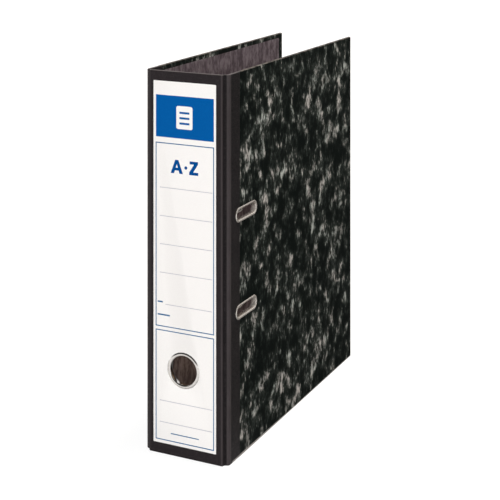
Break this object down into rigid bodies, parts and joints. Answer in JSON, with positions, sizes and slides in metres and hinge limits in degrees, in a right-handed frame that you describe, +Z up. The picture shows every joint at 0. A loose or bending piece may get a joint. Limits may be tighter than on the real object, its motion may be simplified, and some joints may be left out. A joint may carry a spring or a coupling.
{
  "type": "lever arch file",
  "caption": "Tall A4 lever arch file: cloth-hinged board case with a spine label, finger hole, slotted front cover and a sprung arch mechanism worked by a lever.",
  "frame": {"origin": "centre of the bounding box in plan, on the plane the closed file stands on", "axes": "+Z up along the spine, the spine faces -Y, the fore edges face +Y, the front cover with the slots is on +X and the cover carrying the mechanism is on -X"},
  "size_m": [0.0784, 0.285, 0.318],
  "materials": {
    "book_cloth": "fine woven book cloth, matt with a slight sheen",
    "marbled_paper": "satin marbled cover paper",
    "greyboard": "raw grey bookbinding board",
    "lining_paper": "matt printed lining paper",
    "label_paper": "smooth printed label paper",
    "nickel_plate": "polished nickel plating",
    "bright_steel": "bright zinc-plated steel",
    "bar_plastic": "satin black moulded plastic"
  },
  "bodies": {
    "back_cover": {"back_board": "greyboard", "back_lining": "lining_paper", "back_cover_paper": "marbled_paper", "back_cloth_strip": "book_cloth", "base_plate": "bright_steel", "lower_post": "nickel_plate", "upper_post": "nickel_plate", "mechanism_rivet_1": "nickel_plate", "mechanism_rivet_2": "nickel_plate", "mechanism_rivet_3": "nickel_plate", "mechanism_rivet_4": "nickel_plate", "lever_pivot_pin": "nickel_plate", "bow_spring": "bright_steel"},
    "spine": {"spine_board": "greyboard", "spine_cloth": "book_cloth", "spine_lining": "lining_paper", "spine_label": "label_paper", "finger_ring": "nickel_plate", "finger_ring_collar": "nickel_plate"},
    "front_cover": {"front_board": "greyboard", "front_cover_paper": "marbled_paper", "front_cloth_strip": "book_cloth", "front_lining": "lining_paper", "lower_slot_eyelet": "nickel_plate", "lower_slot_collar": "nickel_plate", "upper_slot_eyelet": "nickel_plate", "upper_slot_collar": "nickel_plate"},
    "arches": {"arch_bow": "nickel_plate"},
    "lever": {"lever": "nickel_plate", "roller_pin": "nickel_plate"},
    "roller": {"pressure_roller": "bright_steel"},
    "compressor": {"compressor_bar": "bar_plastic"},
    "compressor_lock": {"compressor_lock": "bright_steel"}
  },
  "joints": [
    {"name": "spine_hinge", "type": "hinge", "parent": "back_cover", "child": "spine", "pos_m": [-0.0356, -0.138, 0.159], "axis": [0, 0, -1], "range_deg": [0, 90]},
    {"name": "front_cover_hinge", "type": "hinge", "parent": "spine", "child": "front_cover", "pos_m": [0.0356, -0.138, 0.159], "axis": [0, 0, -1], "range_deg": [0, 110]},
    {"name": "arch_hinge", "type": "hinge", "parent": "back_cover", "child": "arches", "pos_m": [-0.02835, -0.125, 0.16], "axis": [0, 0, -1], "range_deg": [0, 50], "deforming": ["bow_spring"]},
    {"name": "lever_hinge", "type": "hinge", "parent": "back_cover", "child": "lever", "pos_m": [-0.01925, -0.105, 0.148], "axis": [0, -1, 0], "range_deg": [0, 78]},
    {"name": "roller_spin", "type": "hinge", "parent": "lever", "child": "roller", "pos_m": [-0.02613, -0.105, 0.13546], "axis": [0, -1, 0], "range_deg": [-78, 0]},
    {"name": "compressor_slide", "type": "slide", "parent": "back_cover", "child": "compressor", "axis": [1, 0, 0], "range_m": [0, 0.027]},
    {"name": "compressor_lock_slide", "type": "slide", "parent": "compressor", "child": "compressor_lock", "axis": [0, 0, 1], "range_m": [0, 0.003]}
  ],
  "couplings": [
    {"joint": "arch_hinge", "follows": "spine_hinge", "ratio": 0.5555},
    {"joint": "lever_hinge", "follows": "spine_hinge", "ratio": 0.8666},
    {"joint": "roller_spin", "follows": "spine_hinge", "ratio": -0.8666}
  ]
}
